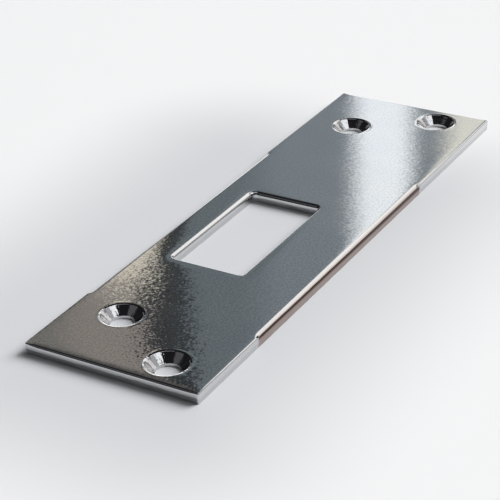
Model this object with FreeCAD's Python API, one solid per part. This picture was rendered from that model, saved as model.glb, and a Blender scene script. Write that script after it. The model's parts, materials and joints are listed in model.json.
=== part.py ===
import FreeCAD, Part
import math
import os

# Driving sizes in millimetres. X runs along the plate, Z is up and the back lies on Z = 0.
plate_length = 120.0
plate_width = 35.0
plate_thickness = 2.2
corner_radius = 0.5
face_edge_radius = 0.35

# Opening for the bolt, nearer to the -X end and to the +Y side.
opening_length = 30.6
opening_width = 15.3
opening_corner_radius = 1.2
opening_edge_radius = 0.5
opening_shift = 7.7
opening_side_metal = 6.5

# Countersunk screw holes. The metal is what is left between a countersink and the plate's edge.
screw_hole_diameter = 4.6
countersink_diameter = 8.2
countersink_angle = 90.0
wide_pair_end_metal = 1.6
wide_pair_side_metal = 5.45
close_pair_end_metal = 11.3
close_pair_side_metal = 5.7

# Long edges of the face, rounded off where the bolt slides over them.
eased_reach = 18.25
eased_depth = 0.9
eased_radius = 1.0
eased_end_radius = 3.0

# How far a cut runs past the faces that it goes through.
overrun = 1.0

half_length = plate_length / 2
half_width = plate_width / 2
opening_middle_x = -opening_shift
opening_middle_y = half_width - opening_side_metal - opening_width / 2
eased_half_length = opening_length / 2 + eased_reach


def vector(x, y, z):
    return FreeCAD.Vector(x, y, z)


def block(length, width, height, middle_x, middle_y, bottom):
    # A box given by its middle in X and Y and by its bottom face.
    corner = vector(middle_x - length / 2, middle_y - width / 2, bottom)
    return Part.makeBox(length, width, height, corner)


def upright_edges(solid):
    found = []
    for edge in solid.Edges:
        ends = edge.Vertexes
        if len(ends) < 2:
            continue
        rise = abs(ends[0].Z - ends[1].Z)
        if math.isclose(rise, edge.Length, rel_tol=1e-6):
            found.append(edge)
    return found


def edges_at_height(solid, height):
    found = []
    for edge in solid.Edges:
        box = edge.BoundBox
        if abs(box.ZMin - height) < 1e-6 and abs(box.ZMax - height) < 1e-6:
            found.append(edge)
    return found


def blank_plate():
    # The flat blank, with small corner radii and a softened rim round its face.
    blank = block(plate_length, plate_width, plate_thickness, 0, 0, 0)
    blank = blank.makeFillet(corner_radius, upright_edges(blank))
    return blank.makeFillet(face_edge_radius, edges_at_height(blank, plate_thickness))


def cut_opening(plate):
    # The bolt opening goes right through, and the rim of its face side is softened too.
    height = plate_thickness + 2 * overrun
    punch = block(opening_length, opening_width, height, opening_middle_x, opening_middle_y, -overrun)
    punch = punch.makeFillet(opening_corner_radius, upright_edges(punch))
    opened = plate.cut(punch)
    reach_x = opening_length / 2 + overrun
    reach_y = opening_width / 2 + overrun
    rim = []
    for edge in edges_at_height(opened, plate_thickness):
        middle = edge.BoundBox.Center
        near_x = abs(middle.x - opening_middle_x) < reach_x
        near_y = abs(middle.y - opening_middle_y) < reach_y
        if near_x and near_y:
            rim.append(edge)
    return opened.makeFillet(opening_edge_radius, rim)


def screw_places():
    # Two holes near the ends in the -Y row, and two further in on the +Y row.
    rim = countersink_diameter / 2
    wide_x = half_length - wide_pair_end_metal - rim
    wide_y = wide_pair_side_metal + rim - half_width
    close_x = half_length - close_pair_end_metal - rim
    close_y = half_width - close_pair_side_metal - rim
    return [(-wide_x, wide_y), (wide_x, wide_y), (-close_x, close_y), (close_x, close_y)]


def countersunk_cutter(x, y):
    # A straight bore, widened by a cone that reaches its full diameter at the face.
    slope = math.tan(math.radians(countersink_angle / 2))
    bore_radius = screw_hole_diameter / 2
    rim_radius = countersink_diameter / 2
    cone_height = (rim_radius - bore_radius) / slope + overrun
    cone_start = plate_thickness + overrun - cone_height
    top_radius = rim_radius + overrun * slope
    bore = Part.makeCylinder(bore_radius, plate_thickness + 2 * overrun, vector(x, y, -overrun))
    cone = Part.makeCone(bore_radius, top_radius, cone_height, vector(x, y, cone_start))
    return bore.fuse(cone)


def eased_profile(x, axis_y):
    # The section of the cutter in a YZ plane. Its arc leaves the face at eased_depth from the
    # side and meets the side at eased_depth below the face. Elsewhere it stays off the metal.
    side_y = -half_width
    face = vector(x, side_y + eased_depth, plate_thickness)
    side = vector(x, side_y, plate_thickness - eased_depth)
    half_chord = eased_depth / math.sqrt(2)
    rise = eased_radius - math.sqrt(eased_radius**2 - half_chord**2)
    step = rise / math.sqrt(2)
    crown = vector(x, side_y + eased_depth / 2 - step, plate_thickness - eased_depth / 2 + step)
    over_face = vector(x, face.y, plate_thickness + overrun)
    over_axis = vector(x, axis_y, plate_thickness + overrun)
    under_axis = vector(x, axis_y, side.z)
    arc = Part.Arc(face, crown, side).toShape()
    rest = Part.makePolygon([side, under_axis, over_axis, over_face, face])
    return Part.Face(Part.Wire([arc] + rest.Edges))


def eased_cutter():
    # The section runs straight along the -Y side and turns away from the metal at both ends.
    axis_y = -half_width + eased_depth - eased_end_radius
    runout = math.sqrt(eased_end_radius**2 - (eased_end_radius - eased_depth) ** 2)
    straight_half = eased_half_length - runout
    start_x = opening_middle_x - straight_half
    end_x = opening_middle_x + straight_half
    straight = eased_profile(start_x, axis_y).extrude(vector(end_x - start_x, 0, 0))
    first = eased_profile(start_x, axis_y).revolve(vector(start_x, axis_y, 0), vector(0, 0, 1), 180)
    last = eased_profile(end_x, axis_y).revolve(vector(end_x, axis_y, 0), vector(0, 0, 1), -180)
    return straight.fuse([first, last]).removeSplitter()


def strike_plate():
    plate = cut_opening(blank_plate())
    for x, y in screw_places():
        plate = plate.cut(countersunk_cutter(x, y))
    cutter = eased_cutter()
    plate = plate.cut(cutter)
    plate = plate.cut(cutter.mirror(vector(0, 0, 0), vector(0, 1, 0)))
    return plate.Solids[0]


os.makedirs("parts", exist_ok=True)
strike_plate().exportStep("parts/strike_plate.step")
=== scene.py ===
import json
import math

import bmesh
import bpy
import numpy as np
from mathutils import Matrix, Vector


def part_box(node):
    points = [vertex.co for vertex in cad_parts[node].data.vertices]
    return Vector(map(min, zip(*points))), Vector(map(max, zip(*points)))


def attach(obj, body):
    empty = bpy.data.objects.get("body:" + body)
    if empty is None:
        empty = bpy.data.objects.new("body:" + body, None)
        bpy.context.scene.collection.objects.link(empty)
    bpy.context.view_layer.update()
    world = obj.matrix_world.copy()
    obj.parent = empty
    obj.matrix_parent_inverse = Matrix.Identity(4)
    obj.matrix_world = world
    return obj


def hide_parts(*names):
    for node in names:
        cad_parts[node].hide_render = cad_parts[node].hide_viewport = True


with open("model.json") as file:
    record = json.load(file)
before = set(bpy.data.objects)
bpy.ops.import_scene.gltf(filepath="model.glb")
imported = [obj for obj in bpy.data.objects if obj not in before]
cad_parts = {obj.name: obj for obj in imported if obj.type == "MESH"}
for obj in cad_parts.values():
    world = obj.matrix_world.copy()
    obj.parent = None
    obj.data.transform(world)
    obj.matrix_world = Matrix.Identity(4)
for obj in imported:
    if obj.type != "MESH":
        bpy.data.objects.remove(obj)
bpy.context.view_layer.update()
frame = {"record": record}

mm = 0.001
tiny = 1e-7
squareOn = 0.999  # a direction with this much of one axis points along it

# Strike plate: what a user may change about its own edges and surfaces
plateShape = {
    "cornerRadius": 0.3 * mm,
    "endEdge": 0.5 * mm,  # softened rim of the face at both ends
    "sideEdge": 0.28 * mm,  # the same along the -Y side, and along the +Y side
    "sharpSideEdge": 0.14 * mm,
    "endTaper": 1.5 * mm,  # the ends' rim sharpens over this distance towards the corners
    "easedDepth": 0.9 * mm,  # rounded stretch of the long edges
    "easedRadius": 1.0 * mm,
    "easedEndRadius": 3.0 * mm,
    "easedReach": 18.25 * mm,  # past each end of the opening
    "openingCorner": 1.2 * mm,
    "openingEdge": 0.75 * mm,  # softened rim on the opening's +X and +Y sides
    "openingLip": 0.3 * mm,  # and on its -X and -Y sides
    "openingRoom": 0.4 * mm,  # the record's box keeps this far off the metal
    "lipRadius": 4.26 * mm,  # where the face starts to lean into a countersink
    "lipLength": 0.50 * mm,
    "lipLean": 13,  # degrees, held between these shares of the lip's length
    "lipHold": (0.22, 0.75),
    "tearDepth": 0.10 * mm,  # how far the torn part of a punched wall falls back
    "tearStart": 0.5,  # share of the thickness above it
    "tearCurve": 0.8,
    "tearStartWaver": 0.035,  # share of the thickness
    "tearDepthWaver": 0.15,  # share of the depth
    # waves, each with its radians per mm along X and Y, its start and its height
    "tearWaves": ((0.9, 0.7, 0, 1.0), (2.3, -1.7, 1, 0.6), (5.1, 4.3, 0, 0.4)),
    "rippleWaves": ((0.31, 0.12, 0, 1.0), (0.17, -0.33, 2, 1.0), (0.73, 0.41, 4, 0.6)),
    "ripple": 0.0012 * mm,
    "faceDrop": 0.022 * mm,  # the face lies this far under the full thickness, as room for burrs
    "burr": 0.015 * mm,
    "burrWidth": 0.16 * mm,
    "openingRoll": (0.028 * mm, 0.5 * mm),  # how deep the face dips beside an edge, and how far
    "endRoll": (0.045 * mm, 0.7 * mm),  # only at the -X end
    "sideRoll": (0.010 * mm, 0.5 * mm),
}

# How finely its surfaces are divided
plateMesh = {
    "step": 0.55 * mm,
    "cornerStep": 0.12 * mm,
    "openingCornerStep": 0.24 * mm,
    "runoutStep": 0.14 * mm,
    "runoutZone": (-2.6 * mm, 0.3 * mm),  # from the ends of the rounded stretch
    "gridMargin": 1.2 * mm,  # the flat grid stops this far inside the ends
    "sideMargin": 1.8 * mm,
    "cornerZone": 1.2 * mm,
    "cornerSlide": 0.4,  # share of a corner's points that stays on the straight
    "holeBlock": 4.75 * mm,
    "openingBlock": 1.2 * mm,
    "ringRows": 6,
    "easedRows": 22,
    "wallRows": 12,
    "rimRows": 9,
    "lipRows": 14,
    "coneRows": 12,
    "landRows": 4,
    "mergeGap": 0.001 * mm,
    "sharpAngle": 32,
}

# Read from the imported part
low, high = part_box("strike_plate")
halfLength = (high.x - low.x) / 2
halfWidth = (high.y - low.y) / 2
thickness = high.z - low.z
patterns = [m for m in frame["record"]["mounts"] if m["kind"] == "bolt_pattern"]
screwPlaces = np.array([
    (m["pos_m"][0] + side * m["dims"]["spacing_x_mm"] * mm / 2, m["pos_m"][1])
    for m in patterns
    for side in (-1, 1)
])
boreRadius = patterns[0]["dims"]["hole_r_mm"] * mm
boxLow, boxHigh = (np.array(c[:2]) for c in frame["record"]["physics"]["openings"][0]["box_m"])
openingMiddle = (boxLow + boxHigh) / 2
openingHalf = (boxHigh - boxLow) / 2 + plateShape["openingRoom"]
print("frame read:", halfLength * 2, halfWidth * 2, thickness, "m")


def gridLines(keys, stepAt):
    # evenly spaced lines between neighbouring keys, each gap divided by the step wanted there
    keys = np.unique(np.round(keys, 8))
    spans = [
        np.linspace(a, b, math.ceil((b - a) / stepAt((a + b) / 2) - 1e-6) + 1)[:-1]
        for a, b in zip(keys[:-1], keys[1:])
    ]
    return np.concatenate(spans + [keys[-1:]])


def blockLoop(xLines, yLines, block):
    # the grid's own points round a rectangular block, anticlockwise from its low corner
    x = xLines[(xLines > block[0] - tiny) & (xLines < block[1] + tiny)]
    y = yLines[(yLines > block[2] - tiny) & (yLines < block[3] + tiny)]
    return np.concatenate([
        np.stack([x[:-1], np.full(len(x) - 1, y[0])], 1),
        np.stack([np.full(len(y) - 1, x[-1]), y[:-1]], 1),
        np.stack([x[:0:-1], np.full(len(x) - 1, y[-1])], 1),
        np.stack([np.full(len(y) - 1, x[0]), y[:0:-1]], 1),
    ])


def roundedOutline(loop, middle, half, radius, start, share):
    # carries a rectangular loop onto a rounded rectangle: a point keeps its place along its side
    # up to start, slides to the end of the straight over the first share of what is left, and
    # then turns through half the corner. Gives the points and their outward directions
    place = loop - middle
    side = np.where(place < 0, -1.0, 1.0)
    place = np.abs(place)
    reach = place.max(0)
    alongX = place[:, 1] > reach[1] - tiny
    along = np.where(alongX, place[:, 0], place[:, 1])
    begin = np.where(alongX, start[0], start[1])
    end = np.where(alongX, reach[0], reach[1])
    core = np.where(alongX, half[0], half[1]) - radius
    across = np.where(alongX, half[1], half[0]) - radius
    part = np.clip((along - begin) / (end - begin), 0, 1)
    slide = np.clip(part / max(share, tiny), 0, 1)
    straight = np.where(part > 0, begin + (core - begin) * slide, along)
    turn = np.clip((part - share) / (1 - share), 0, 1) * math.pi / 4
    far, wide = straight + radius * np.sin(turn), across + radius * np.cos(turn)
    points = np.stack([np.where(alongX, far, wide), np.where(alongX, wide, far)], 1)
    outward = np.stack([
        np.where(alongX, np.sin(turn), np.cos(turn)),
        np.where(alongX, np.cos(turn), np.sin(turn)),
    ], 1)
    return middle + side * points, side * outward


def softEdge(depth, radius):
    # how far a quarter-round edge stands back at each depth under the face
    inside = np.sqrt(np.maximum(radius**2 - (radius - depth) ** 2, 0))
    return np.where(depth < radius, radius - inside, 0)


def easedHub():
    # the centre of the rounded stretch's arc lies as far in from the side as down from the face:
    # half the arc's depth to the middle of its chord, and from there on to the centre
    depth, radius = plateShape["easedDepth"], plateShape["easedRadius"]
    return depth / 2 + math.sqrt(radius**2 / 2 - depth**2 / 4)


def easedEdge(depth, x):
    # how far the rounded stretch stands back: an arc from the face to the side, left by a round
    # cutter that turns away from the plate at both ends
    size = plateShape
    hub, radius = easedHub(), size["easedRadius"]
    base = size["easedEndRadius"] - size["easedDepth"]
    runout = math.sqrt(size["easedEndRadius"] ** 2 - base**2)
    straightHalf = openingHalf[0] + size["easedReach"] - runout
    past = np.maximum(np.abs(x - openingMiddle[0]) - straightHalf, 0)
    arc = hub - np.sqrt(np.maximum(radius**2 - (hub - depth) ** 2, 0))
    arc = np.where(depth < size["easedDepth"], arc, 0)
    return np.maximum(np.sqrt(np.maximum((base + arc) ** 2 - past**2, 0)) - base, 0)


def easedDepths():
    # depths under the face that divide the rounded stretch's arc into equal turns
    hub, radius = easedHub(), plateShape["easedRadius"]
    first = math.acos(hub / radius)
    last = math.acos((hub - plateShape["easedDepth"]) / radius)
    turn = np.linspace(first, last, plateMesh["easedRows"])
    return hub - radius * np.cos(turn)


def waves(x, y, parts):
    # sum of sine waves that run across the plate, each in its own direction
    x, y = x / mm, y / mm
    return sum(
        height * np.sin(alongX * x + alongY * y + start)
        for alongX, alongY, start, height in parts
    )


def tornWall(depth, points):
    # the lower part of a punched wall, torn and not cut, falls back by a wavering amount
    size = plateShape
    waver = waves(points[:, 0], points[:, 1], size["tearWaves"])
    begin = thickness * (size["tearStart"] + size["tearStartWaver"] * waver)
    part = np.clip((depth - begin) / (thickness - begin), 0, 1)
    return size["tearDepth"] * (1 + size["tearDepthWaver"] * waver) * part ** size["tearCurve"]


def faceDip(x, y):
    # how far the face lies under the plate's highest level: long ripples, rolls that die away
    # from the opening, the -X end and the sides, and a thin burr round each countersink
    size = plateShape
    ripples = waves(x, y, size["rippleWaves"]) / sum(w[3] for w in size["rippleWaves"])
    dip = size["faceDrop"] + size["ripple"] * ripples
    gap = np.abs(np.stack([x, y], -1) - openingMiddle) - openingHalf + size["openingCorner"]
    fromCorner = np.linalg.norm(np.maximum(gap, 0), axis=-1)
    fromOpening = fromCorner - size["openingCorner"] - size["openingEdge"]
    fromEnd = halfLength + x - size["endEdge"]
    fromSide = halfWidth - np.abs(y) - size["endEdge"]
    rolls = ((fromOpening, "openingRoll"), (fromEnd, "endRoll"), (fromSide, "sideRoll"))
    for away, roll in rolls:
        deep, reach = size[roll]
        dip = dip + deep * np.exp(-np.maximum(away, 0) / reach)
    for place in screwPlaces:
        away = np.hypot(x - place[0], y - place[1]) - size["lipRadius"]
        dip = dip - size["burr"] * np.exp(-((away / size["burrWidth"]) ** 2))
    return np.maximum(dip, 0)


def plateLines():
    # grid lines along X and Y, with the blocks round the holes and the opening between them
    size, mesh = plateShape, plateMesh
    half = np.array([halfLength - mesh["gridMargin"], halfWidth - mesh["sideMargin"]])
    block = mesh["holeBlock"]
    holes = [(x - block, x + block, y - block, y + block) for x, y in screwPlaces]
    reach = openingHalf + mesh["openingBlock"]
    opening = (
        openingMiddle[0] - reach[0], openingMiddle[0] + reach[0],
        openingMiddle[1] - reach[1], openingMiddle[1] + reach[1],
    )
    core = openingHalf - size["openingCorner"]
    turn = half - mesh["cornerZone"]
    eased = openingHalf[0] + size["easedReach"]
    before, after = mesh["runoutZone"]
    runout = [openingMiddle[0] + s * (eased + o) for s in (-1, 1) for o in (before, after)]
    xKeys = [-half[0], half[0], -turn[0], turn[0], *opening[:2], *runout]
    yKeys = [-half[1], half[1], -turn[1], turn[1], *opening[2:]]
    xKeys += [openingMiddle[0] - core[0], openingMiddle[0] + core[0]]
    yKeys += [openingMiddle[1] - core[1], openingMiddle[1] + core[1]]
    for hole in holes:
        xKeys += hole[:2]
        yKeys += hole[2:]

    def stepAt(axis):
        # finer steps at the plate's corners, the opening's corners and the rounded stretch's ends
        def step(value):
            if abs(value) > turn[axis]:
                return mesh["cornerStep"]
            if core[axis] < abs(value - openingMiddle[axis]) < reach[axis]:
                return mesh["openingCornerStep"]
            past = abs(value - openingMiddle[0]) - eased
            if axis == 0 and before < past < after:
                return mesh["runoutStep"]
            return mesh["step"]
        return step

    return gridLines(xKeys, stepAt(0)), gridLines(yKeys, stepAt(1)), holes, opening, turn, core


def outsideSetback(outline, outward, depths):
    # how far the outer wall stands back from the outline: a soft rim, wider at the ends than
    # along the sides, the rounded stretch of the sides, and the torn part
    size = plateShape
    depth = depths[:, None]
    along = np.where(outline[:, 1] > 0, size["sharpSideEdge"], size["sideEdge"])
    offCorner = halfWidth - size["cornerRadius"] - np.abs(outline[:, 1])
    atEnd = np.clip(offCorner / size["endTaper"], 0, 1) * (np.abs(outward[:, 0]) > squareOn)
    edge = along + (size["endEdge"] - along) * atEnd
    onSide = np.abs(outward[:, 1]) > squareOn
    eased = np.where(onSide, easedEdge(depth, outline[:, 0]), 0)
    return np.maximum(softEdge(depth, edge), eased) + tornWall(depth, outline)


def openingSetback(outline, outward, depths):
    # the same for the opening's wall: a soft rim that is sharper on two sides, and the torn part
    size = plateShape
    depth = depths[:, None]
    sharp = np.clip(-outward, 0, 1).max(1) ** 2
    edge = size["openingEdge"] + (size["openingLip"] - size["openingEdge"]) * sharp
    return softEdge(depth, edge) + tornWall(depth, outline)


def countersinkProfile():
    # radii and depths of a countersunk hole: a lip whose lean changes along its length, followed
    # step by step, then the cone at 45 degrees and a short bore
    size, mesh = plateShape, plateMesh
    lean = math.radians(size["lipLean"])
    part = np.linspace(0, 1, mesh["lipRows"])
    angle = np.interp(part, (0, *size["lipHold"], 1), (0, lean, lean, math.pi / 4))
    angle = (angle[1:] + angle[:-1]) / 2
    step = size["lipLength"] / (mesh["lipRows"] - 1)
    lipRadii = size["lipRadius"] - step * np.cumsum(np.cos(angle))
    lipDepths = step * np.cumsum(np.sin(angle))
    share = np.linspace(0, 1, mesh["coneRows"])[1:]
    coneHeight = lipRadii[-1] - boreRadius
    tip = lipDepths[-1] + coneHeight
    land = np.linspace(0, 1, mesh["landRows"])[1:]
    radii = np.concatenate([
        [size["lipRadius"]], lipRadii,
        lipRadii[-1] - coneHeight * share, np.full(len(land), boreRadius),
    ])
    depths = np.concatenate([
        [0], lipDepths,
        lipDepths[-1] + coneHeight * share, tip + (thickness - tip) * land,
    ])
    return radii, depths


faceFinish, backFinish, wallFinish, openingFinish, coneFinish = range(5)


def buildPlate():
    # the plate as patches of quads: each is a grid of points with its own UV and finish. Face and
    # back are flat grids with gaps, and a wall with a flat ring at its top and foot fills each gap
    size, mesh = plateShape, plateMesh
    xLines, yLines, holes, opening, turn, core = plateLines()
    patches = []

    def addPatch(points, finish, uv=None, keep=None):
        uv = points[..., :2] if uv is None else uv
        patches.append((points, uv, finish, keep))

    def addRing(outer, inner, z, finish):
        # flat ring between two loops of as many points, closed on itself
        outer, inner = (np.concatenate([p, p[:1]]) for p in (outer, inner))
        share = np.linspace(0, 1, mesh["ringRows"])[:, None, None]
        flat = outer + (inner - outer) * share
        addPatch(np.dstack([flat, np.full(flat.shape[:2], z)]), finish)

    def addWall(loop, rows, depths, finish):
        # wall whose rows of points go down from the face: U runs round it and V down it
        closed = np.concatenate([rows, rows[:, :1]], 1)
        steps = np.linalg.norm(np.diff(closed[-1], axis=0), axis=-1)
        run = np.concatenate([[0], np.cumsum(steps)])
        u, v = np.broadcast_arrays(run[None, :], depths[:, None])
        addRing(loop, rows[0], thickness, faceFinish)
        addPatch(np.dstack([closed, thickness - v]), finish, np.stack([u, v], -1))
        addRing(loop, rows[-1], 0.0, backFinish)

    # face and back
    x, y = np.meshgrid(xLines, yLines, indexing="ij")
    middleX, middleY = (xLines[1:] + xLines[:-1]) / 2, (yLines[1:] + yLines[:-1]) / 2
    cellX, cellY = np.meshgrid(middleX, middleY, indexing="ij")
    keep = np.ones(cellX.shape, bool)
    for block in [*holes, opening]:
        inX = (cellX > block[0]) & (cellX < block[1])
        keep &= ~(inX & (cellY > block[2]) & (cellY < block[3]))
    for z, finish in ((thickness, faceFinish), (0.0, backFinish)):
        addPatch(np.dstack([x, y, np.full(x.shape, z)]), finish, keep=keep)

    # outside: its rows follow the rounded stretch's arc and then the wall
    loop = blockLoop(xLines, yLines, (xLines[0], xLines[-1], yLines[0], yLines[-1]))
    half = np.array([halfLength, halfWidth])
    outline, outward = roundedOutline(
        loop, np.zeros(2), half, size["cornerRadius"], turn, mesh["cornerSlide"]
    )
    below = np.linspace(size["easedDepth"], thickness, mesh["wallRows"] + 1)[1:]
    depths = np.concatenate([easedDepths(), below])
    back = outsideSetback(outline, outward, depths)
    addWall(loop, outline - outward * back[..., None], depths, wallFinish)

    # opening: the same, turned inside out
    loop = blockLoop(xLines, yLines, opening)
    outline, outward = roundedOutline(
        loop, openingMiddle, openingHalf, size["openingCorner"], core, 0
    )
    rim = size["openingEdge"] * (1 - np.cos(np.linspace(0, math.pi / 2, mesh["rimRows"])))
    below = np.linspace(size["openingEdge"], thickness, 2 * mesh["wallRows"])[1:]
    depths = np.concatenate([rim, below])
    back = openingSetback(outline, outward, depths)
    addWall(loop, outline + outward * back[..., None], depths, openingFinish)

    # countersunk holes: the profile turned about each hole's axis
    radii, depths = countersinkProfile()
    for place, block in zip(screwPlaces, holes):
        loop = blockLoop(xLines, yLines, block)
        spoke = loop - place
        spoke = spoke / np.linalg.norm(spoke, axis=1)[:, None]
        addWall(loop, place + spoke * radii[:, None, None], depths, coneFinish)
    return patches


def meshFromPatches(name, patches):
    # joins grids of points into one closed mesh: each grid's cells become quads, points that
    # fall together are merged, and the faces are turned outwards. A point sinks by the dip of the
    # face above it, less and less towards the back
    points, uvs, quads, finishes = [], [], [], []
    count = 0
    for grid, uv, finish, keep in patches:
        rows, cols = grid.shape[:2]
        index = count + np.arange(rows * cols).reshape(rows, cols)
        cells = np.stack([index[:-1, :-1], index[1:, :-1], index[1:, 1:], index[:-1, 1:]], -1)
        cells = cells.reshape(-1, 4) if keep is None else cells[keep]
        points.append(grid.reshape(-1, 3))
        uvs.append(uv.reshape(-1, 2))
        quads.append(cells)
        finishes.append(np.full(len(cells), finish))
        count += rows * cols
    points, uvs, quads = np.concatenate(points), np.concatenate(uvs), np.concatenate(quads)
    points[:, 2] -= faceDip(points[:, 0], points[:, 1]) * points[:, 2] / thickness
    mesh = bpy.data.meshes.new(name)
    mesh.from_pydata(points.tolist(), [], quads.tolist())
    layer = mesh.uv_layers.new(name="surface")
    layer.data.foreach_set("uv", uvs[quads.ravel()].astype(np.float32).ravel())
    mesh.polygons.foreach_set("material_index", np.concatenate(finishes).astype(np.int32))
    work = bmesh.new()
    work.from_mesh(mesh)
    bmesh.ops.remove_doubles(work, verts=work.verts, dist=plateMesh["mergeGap"])
    loose = [v for v in work.verts if not v.link_faces]
    bmesh.ops.delete(work, geom=loose, context="VERTS")
    bmesh.ops.recalc_face_normals(work, faces=work.faces)
    openEdges = sum(1 for e in work.edges if len(e.link_faces) != 2)
    work.to_mesh(mesh)
    work.free()
    mesh.shade_smooth()
    mesh.set_sharp_from_angle(angle=math.radians(plateMesh["sharpAngle"]))
    mesh.update()
    print(name, "has", len(mesh.polygons), "faces and", openEdges, "open edges")
    return mesh


def addNode(tree, kind, values=None, **settings):
    # a shader node with its settings, and values or links for its sockets
    node = tree.nodes.new(kind)
    for key, value in settings.items():
        setattr(node, key, value)
    for key, value in (values or {}).items():
        if isinstance(value, bpy.types.NodeSocket):
            tree.links.new(value, node.inputs[key])
        else:
            node.inputs[key].default_value = value
    return node


def mixColours(tree, share, first, second):
    # first colour where share is 0, second where it is 1
    node = addNode(tree, "ShaderNodeMix", {0: share, 6: first, 7: second}, data_type="RGBA")
    return node.outputs[2]


def spread(tree, value, fromLow, fromHigh, toLow=0.0, toHigh=1.0):
    # moves a value from one range to another, eased at both ends
    values = {"Value": value, 1: fromLow, 2: fromHigh, 3: toLow, 4: toHigh}
    return addNode(tree, "ShaderNodeMapRange", values, interpolation_type="SMOOTHSTEP").outputs[0]


def maths(tree, operation, first, second=0.0):
    # one step of arithmetic on one or two values
    return addNode(tree, "ShaderNodeMath", {0: first, 1: second}, operation=operation).outputs[0]


def vectorMaths(tree, operation, values):
    # the same on vectors. A length comes out of its second output
    return addNode(tree, "ShaderNodeVectorMath", values, operation=operation).outputs


def weightedSum(tree, values, weights):
    # each value times its weight, all added up
    total = None
    for value, weight in zip(values, weights):
        part = maths(tree, "MULTIPLY", value, weight)
        total = part if total is None else maths(tree, "ADD", total, part)
    return total


def component(tree, vector, axis):
    # one of a vector's three numbers
    return addNode(tree, "ShaderNodeSeparateXYZ", {0: vector}).outputs[axis]


def stretched(tree, vector, scale, turn=0.0):
    # coordinates scaled by a different amount along each axis, and then turned about Z
    values = {"Vector": vector, "Rotation": (0, 0, turn), "Scale": scale}
    return addNode(tree, "ShaderNodeMapping", values).outputs[0]


def noise(tree, vector, scale, detail=2.0, roughness=0.5):
    # soft random values between 0 and 1, with as many finer layers as detail says
    values = {"Vector": vector, "Scale": scale, "Detail": detail, "Roughness": roughness}
    return addNode(tree, "ShaderNodeTexNoise", values).outputs[0]


def addBump(tree, shader, height, distance):
    # leans the shader's normal by a height that is this many metres from 0 to 1
    bump = addNode(tree, "ShaderNodeBump", {"Height": height, "Strength": 1.0, "Distance": distance})
    tree.links.new(bump.outputs[0], shader.inputs["Normal"])


def newGroup(name, inputs, outputs):
    # empty node group with named sockets. Gives it, its inputs as outputs, and its outputs
    group = bpy.data.node_groups.new(name, "ShaderNodeTree")
    for socket, kind, value in inputs:
        made = group.interface.new_socket(socket, in_out="INPUT", socket_type=kind)
        if value is not None:
            made.default_value = value
    for socket, kind in outputs:
        group.interface.new_socket(socket, in_out="OUTPUT", socket_type=kind)
    given = group.nodes.new("NodeGroupInput").outputs
    return group, given, group.nodes.new("NodeGroupOutput").inputs


def useGroup(tree, group, values):
    # places a group in a material with its own values
    return addNode(tree, "ShaderNodeGroup", values, node_tree=group).outputs


# Finishes of the plated steel: colours, roughness from and to, and patterns. The scale of a noise
# is per metre, and its spread says which of its values become 0 and 1
steelFinish = {
    "face": (0.66, 0.665, 0.67, 1),
    "faceCloud": (0.69, 0.685, 0.675, 1),
    "faceSpeck": (0.34, 0.345, 0.35, 1),  # painted shade between its grains
    "faceRough": (0.045, 0.065),
    "back": (0.50, 0.50, 0.49, 1),
    "backCloud": (0.58, 0.575, 0.56, 1),
    # painted shade between the back's grains
    "backSpeck": (0.34, 0.34, 0.33, 1),
    "backRough": (0.24, 0.36),
    "cloudScale": 130.0,
    "cloudSpread": (0.35, 0.65),
    "speckSpread": (0.35, 0.70),
    "speckFade": (-0.03, 0.04, 0.50, 0.20),  # from where to where along the plate the painted shade between grains fades, and how dark
    "faceLean": 0.050,  # how far the grain tilts the surface
    "faceFade": (-0.048, -0.004, 0.36),  # where along the plate it dies away, and to what share
    "backLean": 0.30,
    "backFade": (0.0, 1.0, 1.0),
    "smearSpread": (0.35, 0.7),
    "scratchTurns": (0.3, -1.1),  # one layer of scratches for each turn of their noise
    "scratchScale": (25.0, 2600.0, 1.0),
    "scratchSpread": (0.70, 0.78),
    "scratchShare": 0.6,  # of what a smear dulls
    "dullest": 1.2,  # smear and scratch that make the metal as rough as it gets
    "wall": (0.72, 0.725, 0.73, 1),
    "torn": (0.62, 0.62, 0.62, 1),
    "wallRough": (0.13, 0.26),
    "tornBand": (1.1 * mm, 1.4 * mm),
    "tornWaver": 0.25 * mm,
    "streakScale": (4200.0, 240.0, 1.0),
    "streakDepth": 5e-6,
    "wallGrain": (4000.0, 0.5),  # its scale, and its share of the height
    "cone": (0.70, 0.70, 0.71, 1),
    "coneRough": (0.05, 0.12),
    "ringScale": (250.0, 3400.0, 1.0),
    "ringSpread": (0.3, 0.7),
    "chatterScale": (1100.0, 260.0, 1.0),
    "coneHeights": (0.5, 0.4, 2.2),  # of its rings, grain and chatter
    "chatterDepth": 60e-6,
}

# Colour bands down the rounded stretch, from the top down: a pinkish band, a dark line and a
# brown-grey band. Each tone's colour, the depths between which it comes in, and how many metres
# deeper it starts for each metre towards +X
easedBandTones = {
    "blush": ((0.66, 0.60, 0.585, 1), 0.06 * mm, 0.30 * mm, 0.0),
    "stain": ((0.13, 0.09, 0.075, 1), 0.36 * mm, 0.57 * mm, 0.003),
    "brownWall": ((0.40, 0.32, 0.29, 1), 0.87 * mm, 1.14 * mm, 0.007),
}
easedBandPlace = {
    "ends": (0.5 * mm, 1.3 * mm),  # it fades this far inside the ends of the rounded stretch
    "scale": 420.0,
    "waver": 0.12 * mm,
}


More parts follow.
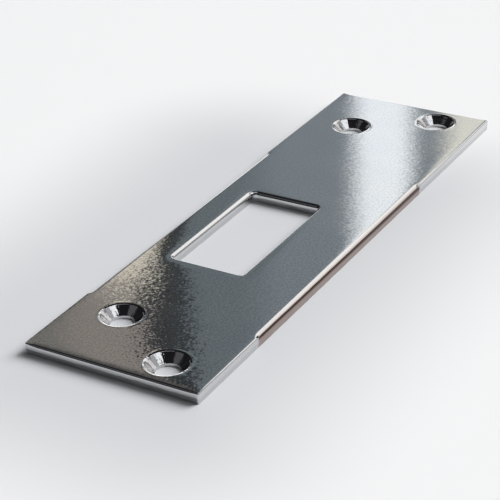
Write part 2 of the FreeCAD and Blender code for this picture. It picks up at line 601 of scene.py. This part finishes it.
def buildGrainGroup():
    # fine grain of plated sheet: its normal leans by a soft noise of its own, less and less
    # along the sheet. Also gives a height for bumps
    group, given, out = newGroup(
        "platingGrain",
        [("Vector", "NodeSocketVector", None), ("Scale", "NodeSocketFloat", 2300.0),
         ("Lean", "NodeSocketFloat", 0.06), ("Fade Start", "NodeSocketFloat", 0.0),
         ("Fade End", "NodeSocketFloat", 1.0), ("Faded", "NodeSocketFloat", 1.0)],
        [("Normal", "NodeSocketVector"), ("Height", "NodeSocketFloat")],
    )
    values = {"Vector": given["Vector"], "Scale": given["Scale"], "Detail": 1.0, "Roughness": 0.5}
    pits = addNode(group, "ShaderNodeTexNoise", values).outputs
    along = component(group, given["Vector"], 0)
    left = spread(group, along, given["Fade Start"], given["Fade End"], 1.0, given["Faded"])
    left = maths(group, "MULTIPLY", left, given["Lean"])
    lean = vectorMaths(group, "SUBTRACT", {0: pits[1], 1: (0.5, 0.5, 0.5)})[0]
    lean = vectorMaths(group, "SCALE", {0: lean, "Scale": left})[0]
    plain = group.nodes.new("ShaderNodeNewGeometry").outputs["Normal"]
    leaning = vectorMaths(group, "ADD", {0: plain, 1: lean})[0]
    leaning = vectorMaths(group, "NORMALIZE", {0: leaning})[0]
    group.links.new(leaning, out["Normal"])
    group.links.new(pits[0], out["Height"])
    return group


def buildWearGroup():
    # handling: cloudy smears, and thin straight scratches from two layers of stretched noise
    group, given, out = newGroup(
        "handlingWear",
        [("Vector", "NodeSocketVector", None), ("Smear Scale", "NodeSocketFloat", 60.0)],
        [("Smears", "NodeSocketFloat"), ("Scratches", "NodeSocketFloat")],
    )
    finish = steelFinish
    smears = noise(group, given["Vector"], given["Smear Scale"], 4.0, 0.6)
    group.links.new(spread(group, smears, *finish["smearSpread"]), out["Smears"])
    lines = []
    for turn in finish["scratchTurns"]:
        turned = stretched(group, given["Vector"], finish["scratchScale"], turn)
        lines.append(spread(group, noise(group, turned, 1.0, 1.0), *finish["scratchSpread"]))
    group.links.new(maths(group, "MAXIMUM", *lines), out["Scratches"])
    return group


def newMaterial(name):
    # material of bare metal, with its shader and its coordinates
    material = bpy.data.materials.new(name)
    material.use_nodes = True
    tree = material.node_tree
    shader = tree.nodes["Principled BSDF"]
    shader.inputs["Metallic"].default_value = 1.0
    place = tree.nodes.new("ShaderNodeTexCoord").outputs
    return material, tree, shader, place


def sheetMaterial(name, side, grain, wear):
    # face and back: cloudy metal with painted shade between its grains, less so towards +X, with
    # smears and a few scratches that dull it
    finish = steelFinish
    material, tree, shader, place = newMaterial(name)
    values = {"Vector": place["Object"], "Lean": finish[side + "Lean"]}
    values |= zip(("Fade Start", "Fade End", "Faded"), finish[side + "Fade"])
    grainOut = useGroup(tree, grain, values)
    wearOut = useGroup(tree, wear, {"Vector": place["Object"]})
    clouds = noise(tree, place["Object"], finish["cloudScale"], 3.0)
    clouds = spread(tree, clouds, *finish["cloudSpread"])
    colour = mixColours(tree, clouds, finish[side], finish[side + "Cloud"])
    along = component(tree, place["Object"], 0)
    # painted shade between the grains, strongest towards -X and fading towards +X
    pitShade = spread(tree, grainOut["Height"], *finish["speckSpread"])
    pitShade = maths(tree, "MULTIPLY", pitShade, spread(tree, along, *finish["speckFade"]))
    colour = mixColours(tree, pitShade, colour, finish[side + "Speck"])
    tree.links.new(colour, shader.inputs["Base Color"])
    scratches = maths(tree, "MULTIPLY", wearOut["Scratches"], finish["scratchShare"])
    dull = maths(tree, "ADD", wearOut["Smears"], scratches)
    rough = spread(tree, dull, 0.0, finish["dullest"], *finish[side + "Rough"])
    tree.links.new(rough, shader.inputs["Roughness"])
    tree.links.new(grainOut["Normal"], shader.inputs["Normal"])
    return material


def addEasedBands(tree, place, depth, colour):
    # lays the colour bands over a wall's colour by the depth under the face, each with a wavering
    # upper edge, as far along the wall as the rounded stretch goes
    along = component(tree, place["Object"], 0)
    away = maths(tree, "ABSOLUTE", maths(tree, "SUBTRACT", along, float(openingMiddle[0])))
    reach = float(openingHalf[0] + plateShape["easedReach"])
    first, last = easedBandPlace["ends"]
    within = spread(tree, away, reach - first, reach - last)
    patches = noise(tree, place["Object"], easedBandPlace["scale"], 3.0)
    line = maths(tree, "ADD", depth, maths(tree, "MULTIPLY", patches, easedBandPlace["waver"]))
    toned = colour
    for tone, start, end, drop in easedBandTones.values():
        level = maths(tree, "SUBTRACT", line, maths(tree, "MULTIPLY", along, drop))
        toned = mixColours(tree, spread(tree, level, start, end), toned, tone)
    return mixColours(tree, within, colour, toned)


def wallMaterial(name, banded, grain):
    # punched wall: a bright cut band with upright streaks over a rougher torn band
    finish = steelFinish
    material, tree, shader, place = newMaterial(name)
    depth = component(tree, place["UV"], 1)
    streaks = noise(tree, stretched(tree, place["UV"], finish["streakScale"]), 1.0, 3.0, 0.6)
    edge = maths(tree, "ADD", depth, maths(tree, "MULTIPLY", streaks, finish["tornWaver"]))
    torn = spread(tree, edge, *finish["tornBand"])
    colour = mixColours(tree, torn, finish["wall"], finish["torn"])
    if banded:
        colour = addEasedBands(tree, place, depth, colour)
    tree.links.new(colour, shader.inputs["Base Color"])
    rough = spread(tree, torn, 0.0, 1.0, *finish["wallRough"])
    tree.links.new(rough, shader.inputs["Roughness"])
    grainScale, grainShare = finish["wallGrain"]
    fine = useGroup(tree, grain, {"Vector": place["Object"], "Scale": grainScale})["Height"]
    height = weightedSum(tree, (streaks, fine), (torn, grainShare))
    addBump(tree, shader, height, finish["streakDepth"])
    return material


def coneMaterial(grain):
    # countersink: fine turning rings and the upright chatter of the cutter, both from noise
    # stretched one way over the unrolled cone
    finish = steelFinish
    material, tree, shader, place = newMaterial("turnedCone")
    shader.inputs["Base Color"].default_value = finish["cone"]
    rings = noise(tree, stretched(tree, place["UV"], finish["ringScale"]), 1.0, 2.0)
    chatter = noise(tree, stretched(tree, place["UV"], finish["chatterScale"]), 1.0, 2.0)
    fine = useGroup(tree, grain, {"Vector": place["Object"]})["Height"]
    rough = spread(tree, rings, *finish["ringSpread"], *finish["coneRough"])
    tree.links.new(rough, shader.inputs["Roughness"])
    height = weightedSum(tree, (rings, fine, chatter), finish["coneHeights"])
    addBump(tree, shader, height, finish["chatterDepth"])
    return material


grainGroup = buildGrainGroup()
wearGroup = buildWearGroup()
plateMaterials = [
    sheetMaterial("platedFace", "face", grainGroup, wearGroup),
    sheetMaterial("platedBack", "back", grainGroup, wearGroup),
    wallMaterial("punchedSide", True, grainGroup),
    wallMaterial("punchedOpening", False, grainGroup),
    coneMaterial(grainGroup),
]
print("finishes made:", len(plateMaterials))

plateSkin = meshFromPatches("plated_strike_plate", buildPlate())
plateObject = bpy.data.objects.new("plated_strike_plate", plateSkin)
bpy.context.scene.collection.objects.link(plateObject)
for material in plateMaterials:
    plateObject.data.materials.append(material)
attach(plateObject, "root")
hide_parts("strike_plate")

# Floor that the plate lies on: painted shade round the plate, paling away from it
floorLook = {
    "halfSize": 4.0,
    # the floor's colour under the painted shade round the plate, and away from it
    "near": (0.635, 0.645, 0.665, 1),
    "far": (0.88, 0.88, 0.885, 1),
    "fade": (0.0, 0.043),
    "shadeMiddle": (-0.020, 0.006, 0.0),  # the painted shade on the floor lies round here
    "shadeHalf": (0.045, 0.020, 0.0),
    "rough": 0.6,
}


def buildFloor():
    # one large square, whose colour is painted shade that follows the distance from a rectangle: how
    # far a point lies past its half sizes along each axis, taken together, darker close to it
    reach = floorLook["halfSize"]
    mesh = bpy.data.meshes.new("floor")
    corners = [(-reach, -reach, 0), (reach, -reach, 0), (reach, reach, 0), (-reach, reach, 0)]
    mesh.from_pydata(corners, [], [(0, 1, 2, 3)])
    floor = bpy.data.objects.new("floor", mesh)
    bpy.context.scene.collection.objects.link(floor)
    material, tree, shader, place = newMaterial("paleFloor")
    shader.inputs["Metallic"].default_value = 0.0
    shader.inputs["Roughness"].default_value = floorLook["rough"]
    away = vectorMaths(tree, "SUBTRACT", {0: place["Object"], 1: floorLook["shadeMiddle"]})[0]
    away = vectorMaths(tree, "ABSOLUTE", {0: away})[0]
    away = vectorMaths(tree, "SUBTRACT", {0: away, 1: floorLook["shadeHalf"]})[0]
    away = vectorMaths(tree, "MAXIMUM", {0: away, 1: (0, 0, 0)})[0]
    away = vectorMaths(tree, "LENGTH", {0: away})[1]
    pale = spread(tree, away, *floorLook["fade"])
    colour = mixColours(tree, pale, floorLook["near"], floorLook["far"])
    tree.links.new(colour, shader.inputs["Base Color"])
    mesh.materials.append(material)


buildFloor()
print("floor laid")

# Studio that the metal mirrors. Each panel: azimuth from +X towards +Y, elevation, half width,
# half height and soft edge in degrees, and its colour
studioPanels = {
    "paleHorizon": (-20, 5, 42, 9, 5, (0.32, 0.32, 0.31)),
    "brightHorizon": (28, 6, 14, 7, 4, (1.5, 1.5, 1.48)),
    "dimHorizon": (56, 6, 13, 9, 4, (0.20, 0.20, 0.20)),
    "greyWall": (-50, 35, 17, 16, 3, (0.46, 0.46, 0.48)),
    "ceiling": (-35, 63, 32, 12, 4, (1.2, 1.22, 1.25)),
    "room": (31.3, 26, 17, 12, 5, (0.26, 0.295, 0.325)),
    "shade": (32.4, 30.2, 1.85, 9, 2.2, (0.185, 0.215, 0.235)),
    "window": (-3.4, 37, 27.9, 8, 1.0, (1.20, 1.18, 1.15)),
    "mullion": (-37, 30, 6, 8, 2, (0.20, 0.21, 0.22)),
    "windowFoot": (-24, 22.5, 14, 7, 2, (0.9, 0.88, 0.86)),
    "windowPost": (22.2, 27.4, 1.2, 13, 1.4, (0.95, 0.94, 0.86)),
    "curtain": (25.75, 27.4, 1.08, 13, 1.1, (1.17, 1.23, 1.28)),
    "warmWall": (41.15, 30.2, 6.2, 8, 0.6, (0.33, 0.30, 0.275)),
    "shadeWall": (42.25, 30.2, 3.6, 9, 2, (0.23, 0.225, 0.21)),
    "warmFoot": (41.15, 24.2, 6.2, 3.5, 2.4, (0.12, 0.11, 0.10)),
    "warmLintel": (41.15, 38.6, 6.2, 4.1, 2.4, (0.12, 0.115, 0.11)),
    "darkPost": (34.42, 30.7, 0.92, 9, 0.5, (0.05, 0.055, 0.06)),
    "glow": (35.9, 27.9, 1.15, 1.3, 0.9, (0.92, 0.85, 0.72)),
    "skylight": (-83, 57, 16, 13, 3, (1.15, 1.18, 1.2)),
    "farCorner": (135, 43, 22, 10, 9, (0.095, 0.095, 0.10)),
    "backWindow": (205, 25, 26, 14, 6, (0.2, 0.2, 0.2)),
}
studioLight = {
    "dark": (0.012, 0.012, 0.014, 1),
    "zenith": (0.55, 0.55, 0.56, 1),
    "zenithSpread": (12, 16),  # degrees from straight up
    "backdrop": (0.9, 0.9, 0.91, 1),
    "sun": 4.1,
    "sunSpread": 38,
    "sunPlace": (-35, 38),  # azimuth and elevation
}


def insidePanel(tree, value, half, soft):
    # 1 where an angle is within a panel's half size, eased to 0 over its soft edge
    return spread(tree, value, math.radians(half + soft / 2), math.radians(half - soft / 2))


def buildStudio():
    # each panel is a rectangle of azimuth and elevation with eased edges, laid over the last
    world = bpy.data.worlds.new("studio")
    bpy.context.scene.world = world
    world.use_nodes = True
    tree = world.node_tree
    direction = tree.nodes.new("ShaderNodeTexCoord").outputs["Generated"]
    elevation = maths(tree, "ARCSINE", component(tree, direction, 2))
    zenith = [math.radians(90 - a) for a in reversed(studioLight["zenithSpread"])]
    overhead = spread(tree, elevation, *zenith)
    colour = mixColours(tree, overhead, studioLight["dark"], studioLight["zenith"])
    for azimuth, rise, halfWide, halfHigh, soft, light in studioPanels.values():
        values = {"Vector": direction, "Axis": (0, 0, 1), "Angle": -math.radians(azimuth)}
        turned = addNode(tree, "ShaderNodeVectorRotate", values).outputs[0]
        flat = addNode(tree, "ShaderNodeSeparateXYZ", {0: turned}).outputs
        sideways = maths(tree, "ABSOLUTE", maths(tree, "ARCTAN2", flat[1], flat[0]))
        upright = maths(tree, "SUBTRACT", elevation, math.radians(rise))
        upright = maths(tree, "ABSOLUTE", upright)
        wide = insidePanel(tree, sideways, halfWide, soft)
        high = insidePanel(tree, upright, halfHigh, soft)
        colour = mixColours(tree, maths(tree, "MULTIPLY", wide, high), colour, (*light, 1))
    seen = tree.nodes.new("ShaderNodeLightPath").outputs["Is Camera Ray"]
    colour = mixColours(tree, seen, colour, studioLight["backdrop"])
    tree.links.new(colour, tree.nodes["Background"].inputs["Color"])
    # a wide soft sun lights the floor from the window's side
    sun = bpy.data.lights.new("windowSun", "SUN")
    sun.energy = studioLight["sun"]
    sun.angle = math.radians(studioLight["sunSpread"])
    lamp = bpy.data.objects.new("windowSun", sun)
    bpy.context.scene.collection.objects.link(lamp)
    azimuth, rise = (math.radians(a) for a in studioLight["sunPlace"])
    towards = Vector((math.cos(azimuth), math.sin(azimuth), math.tan(rise)))
    lamp.rotation_euler = towards.to_track_quat("Z", "Y").to_euler()
    lamp.visible_glossy = False


buildStudio()
print("studio made:", len(studioPanels), "panels")

# Camera: where it looks, how far away it is, and its turn about its own axis
cameraPlace = {
    "azimuth": 30.968,
    "elevation": 28.422,
    "roll": -2.241,
    "target": (-10.509 * mm, 1.426 * mm, 0.0),
    "distance": 315.4 * mm,
    "lens": 119.567,
    "clip": (0.01, 50),
}


def placeCamera():
    # stands back from the target against its view direction, upright but for the roll
    angles = (math.radians(cameraPlace[k]) for k in ("azimuth", "elevation", "roll"))
    azimuth, elevation, roll = angles
    forward = Vector((
        math.cos(azimuth) * math.cos(elevation),
        math.sin(azimuth) * math.cos(elevation),
        -math.sin(elevation),
    ))
    level = forward.cross(Vector((0, 0, 1))).normalized()
    rise = level.cross(forward)
    right = level * math.cos(roll) + rise * math.sin(roll)
    up = rise * math.cos(roll) - level * math.sin(roll)
    data = bpy.data.cameras.new("camera")
    data.lens = cameraPlace["lens"]
    data.clip_start, data.clip_end = cameraPlace["clip"]
    camera = bpy.data.objects.new("camera", data)
    bpy.context.scene.collection.objects.link(camera)
    place = Matrix.Translation(Vector(cameraPlace["target"]) - forward * cameraPlace["distance"])
    camera.matrix_world = place @ Matrix((right, up, -forward)).transposed().to_4x4()
    bpy.context.scene.camera = camera


placeCamera()
print("camera placed")
bpy.context.scene.view_settings.view_transform = "Standard"
